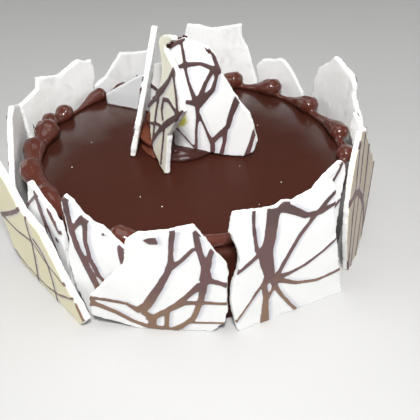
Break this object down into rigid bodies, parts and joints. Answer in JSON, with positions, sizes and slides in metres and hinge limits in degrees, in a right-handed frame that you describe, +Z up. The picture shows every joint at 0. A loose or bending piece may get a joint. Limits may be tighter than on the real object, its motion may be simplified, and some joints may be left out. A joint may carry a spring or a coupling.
{
  "type": "chocolate ganache cake",
  "caption": "Round cake coated in smooth dark chocolate ganache, with a piped bead border, a piped rosette on top and upright broken shards of drizzled white chocolate.",
  "frame": {"origin": "middle of the cake's flat base, on the surface it stands on", "axes": "+Z up along the cake's axis, -Y towards the front of the cake, +X to the right seen from the front"},
  "size_m": [0.226, 0.2218, 0.1307],
  "materials": {
    "ganache": "glossy poured dark chocolate ganache",
    "piped_ganache": "satin piped chocolate ganache",
    "white_chocolate": "satin white chocolate with dark chocolate drizzle"
  },
  "bodies": {
    "root": {"cake_body": "ganache", "border_bead_01": "piped_ganache", "border_bead_02": "piped_ganache", "border_bead_03": "piped_ganache", "border_bead_04": "piped_ganache", "border_bead_05": "piped_ganache", "border_bead_06": "piped_ganache", "border_bead_07": "piped_ganache", "border_bead_08": "piped_ganache", "border_bead_09": "piped_ganache", "border_bead_10": "piped_ganache", "border_bead_11": "piped_ganache", "border_bead_12": "piped_ganache", "border_bead_13": "piped_ganache", "border_bead_14": "piped_ganache", "border_bead_15": "piped_ganache", "border_bead_16": "piped_ganache", "border_bead_17": "piped_ganache", "border_bead_18": "piped_ganache", "border_bead_19": "piped_ganache", "border_bead_20": "piped_ganache", "border_bead_21": "piped_ganache", "shard_front": "white_chocolate", "shard_front_right": "white_chocolate", "shard_right_front": "white_chocolate", "shard_right": "white_chocolate", "shard_right_inner": "white_chocolate", "shard_right_back": "white_chocolate", "shard_back_right": "white_chocolate", "shard_back": "white_chocolate", "shard_back_left": "white_chocolate", "shard_left_back": "white_chocolate", "shard_left": "white_chocolate", "shard_left_outer": "white_chocolate", "shard_left_inner": "white_chocolate", "shard_front_left": "white_chocolate", "top_shard_front": "white_chocolate", "top_shard_middle": "white_chocolate", "top_shard_left": "white_chocolate", "top_shard_inner": "white_chocolate", "top_shard_back": "white_chocolate", "rosette": "piped_ganache"}
  },
  "joints": []
}
